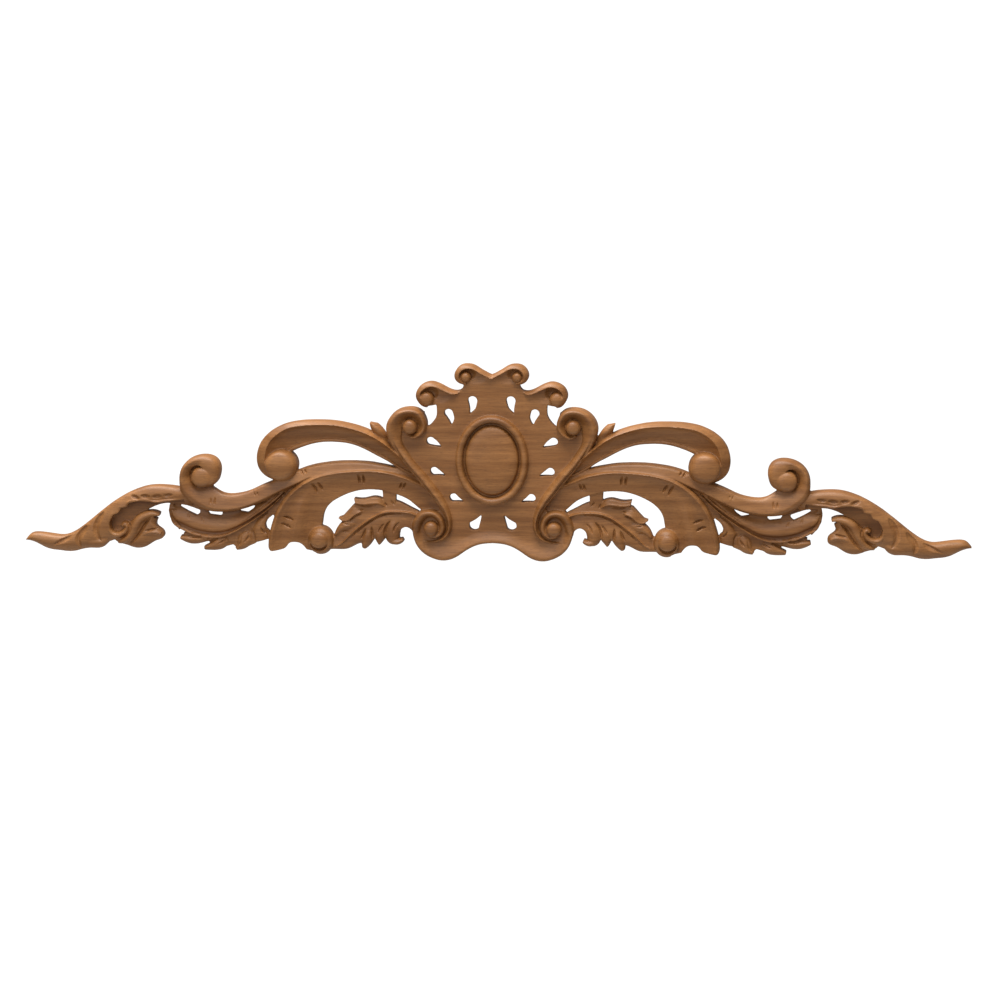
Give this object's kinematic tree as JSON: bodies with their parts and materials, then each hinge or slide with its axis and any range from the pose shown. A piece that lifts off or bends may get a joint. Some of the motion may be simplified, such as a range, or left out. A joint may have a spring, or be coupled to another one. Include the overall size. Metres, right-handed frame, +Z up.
{
  "type": "carved headpiece",
  "caption": "Wide pierced wooden headpiece: an oval cartouche between scrolls, arched straps and leaves, flat behind for fixing on a wall, door or cabinet.",
  "frame": {"origin": "on the flat back, behind the middle of the oval boss", "axes": "+Z up, +X along the length to the viewer's right, +Y out of the flat back into the wall; the carving faces -Y"},
  "size_m": [0.8, 0.02, 0.167],
  "materials": {
    "carved_wood": "bare, matt, unvarnished"
  },
  "bodies": {
    "root": {"headpiece": "carved_wood"}
  },
  "joints": []
}
